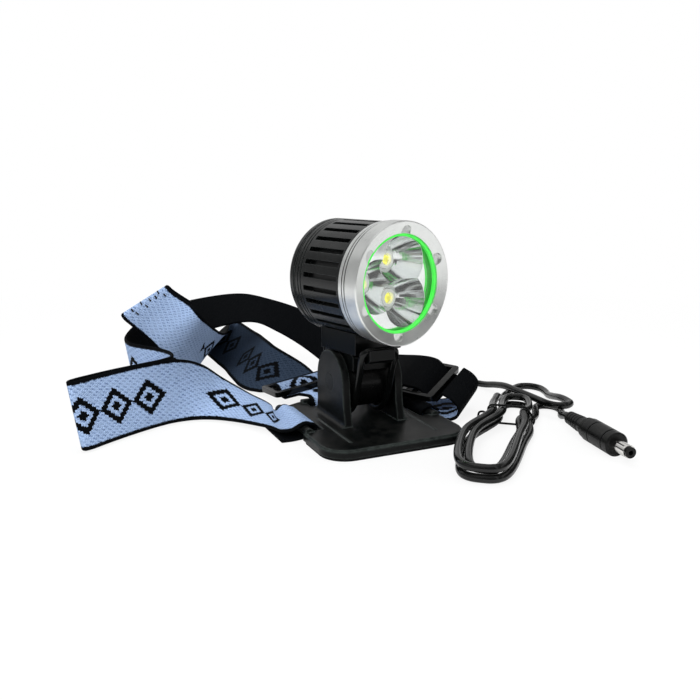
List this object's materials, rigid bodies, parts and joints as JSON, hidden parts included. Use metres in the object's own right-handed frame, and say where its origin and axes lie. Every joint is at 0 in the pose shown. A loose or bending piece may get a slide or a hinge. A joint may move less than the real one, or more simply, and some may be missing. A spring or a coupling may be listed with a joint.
{
  "type": "miner's cap lamp",
  "caption": "Head-worn miner's cap lamp: finned round lamp with a silver bezel on a swivelling, tilting mount, elastic head straps and a lead with a coaxial plug.",
  "frame": {"origin": "on the wearer's face of the forehead pad, straight below the swivel axis", "axes": "+Z away from the forehead along the swivel axis, X along the tilt bar, -Y forward, the way the lamp points before it is swivelled"},
  "size_m": [0.2413, 0.258, 0.0959],
  "materials": {
    "plate_plastic": "fine-grained moulded black",
    "pad_rubber": "matt foam rubber",
    "bar_plastic": "satin moulded black",
    "webbing": "knitted elastic, grey-blue with a black back",
    "slider_plastic": "moulded black",
    "thread": "black thread",
    "lead_rubber": "glossy black jacket",
    "tie_wire": "plastic-coated wire",
    "plug_rubber": "moulded black",
    "plug_metal": "nickel plate",
    "tip_plastic": "moulded black",
    "foot_plastic": "moulded black",
    "lining_rubber": "soft black rubber",
    "ring_rubber": "smooth black rubber",
    "screw_steel": "zinc plate",
    "block_plastic": "moulded black",
    "housing_black": "black anodised, satin",
    "seal_rubber": "black seal",
    "bezel_aluminium": "bead-blasted and turned",
    "lens_glass": "clear",
    "green_rubber": "bright green",
    "reflector_chrome": "vacuum-plated",
    "board_white": "white solder mask",
    "led_yellow": "yellow phosphor",
    "ring_white": "white",
    "board_green": "green solder mask",
    "spacer_aluminium": "plain",
    "switch_plastic": "moulded black",
    "button_rubber": "soft black rubber"
  },
  "bodies": {
    "base": {"base_plate": "plate_plastic", "forehead_pad": "pad_rubber", "cradle_bar": "bar_plastic", "head_band": "webbing", "overhead_strap": "webbing", "rear_slider": "slider_plastic", "right_slider": "slider_plastic", "strap_stitching": "thread", "cable_run": "lead_rubber", "cable_hank": "lead_rubber", "plug_lead": "lead_rubber", "hank_tie": "tie_wire", "plug_relief": "plug_rubber", "plug_body": "plug_rubber", "plug_barrel": "plug_metal", "plug_tip": "tip_plastic"},
    "foot": {"saddle_foot": "foot_plastic", "saddle_lining": "lining_rubber", "rubber_ring": "ring_rubber", "swivel_washer": "screw_steel", "swivel_screw": "screw_steel", "cable_lead": "lead_rubber"},
    "lamp_head": {"mount_block": "block_plastic", "block_screws": "screw_steel", "housing": "housing_black", "rear_cap": "housing_black", "rear_seal": "seal_rubber", "bezel_seal": "seal_rubber", "bezel": "bezel_aluminium", "lens": "lens_glass", "green_ring": "green_rubber", "reflector": "reflector_chrome", "led_board": "board_white", "emitters": "led_yellow", "centring_rings": "ring_white", "driver_board": "board_green", "board_spacer": "spacer_aluminium", "switch_body": "switch_plastic", "cable_gland": "switch_plastic"},
    "button": {"switch_button": "button_rubber"}
  },
  "joints": [
    {"name": "lamp_tilt", "type": "hinge", "parent": "base", "child": "foot", "pos_m": [0, 0, 0.022], "axis": [1, 0, 0], "range_deg": [-35, 50], "deforming": ["cable_run"]},
    {"name": "lamp_swivel", "type": "hinge", "parent": "foot", "child": "lamp_head", "pos_m": [0, 0, 0.04], "axis": [0, 0, 1], "range_deg": [-44.6, 15.4], "deforming": ["cable_lead"]},
    {"name": "switch_press", "type": "slide", "parent": "lamp_head", "child": "button", "axis": [0.2521, -0.9677, 0], "range_m": [0, 0.001], "stiffness_N_per_m": 900, "springref_m": -0.0004}
  ]
}
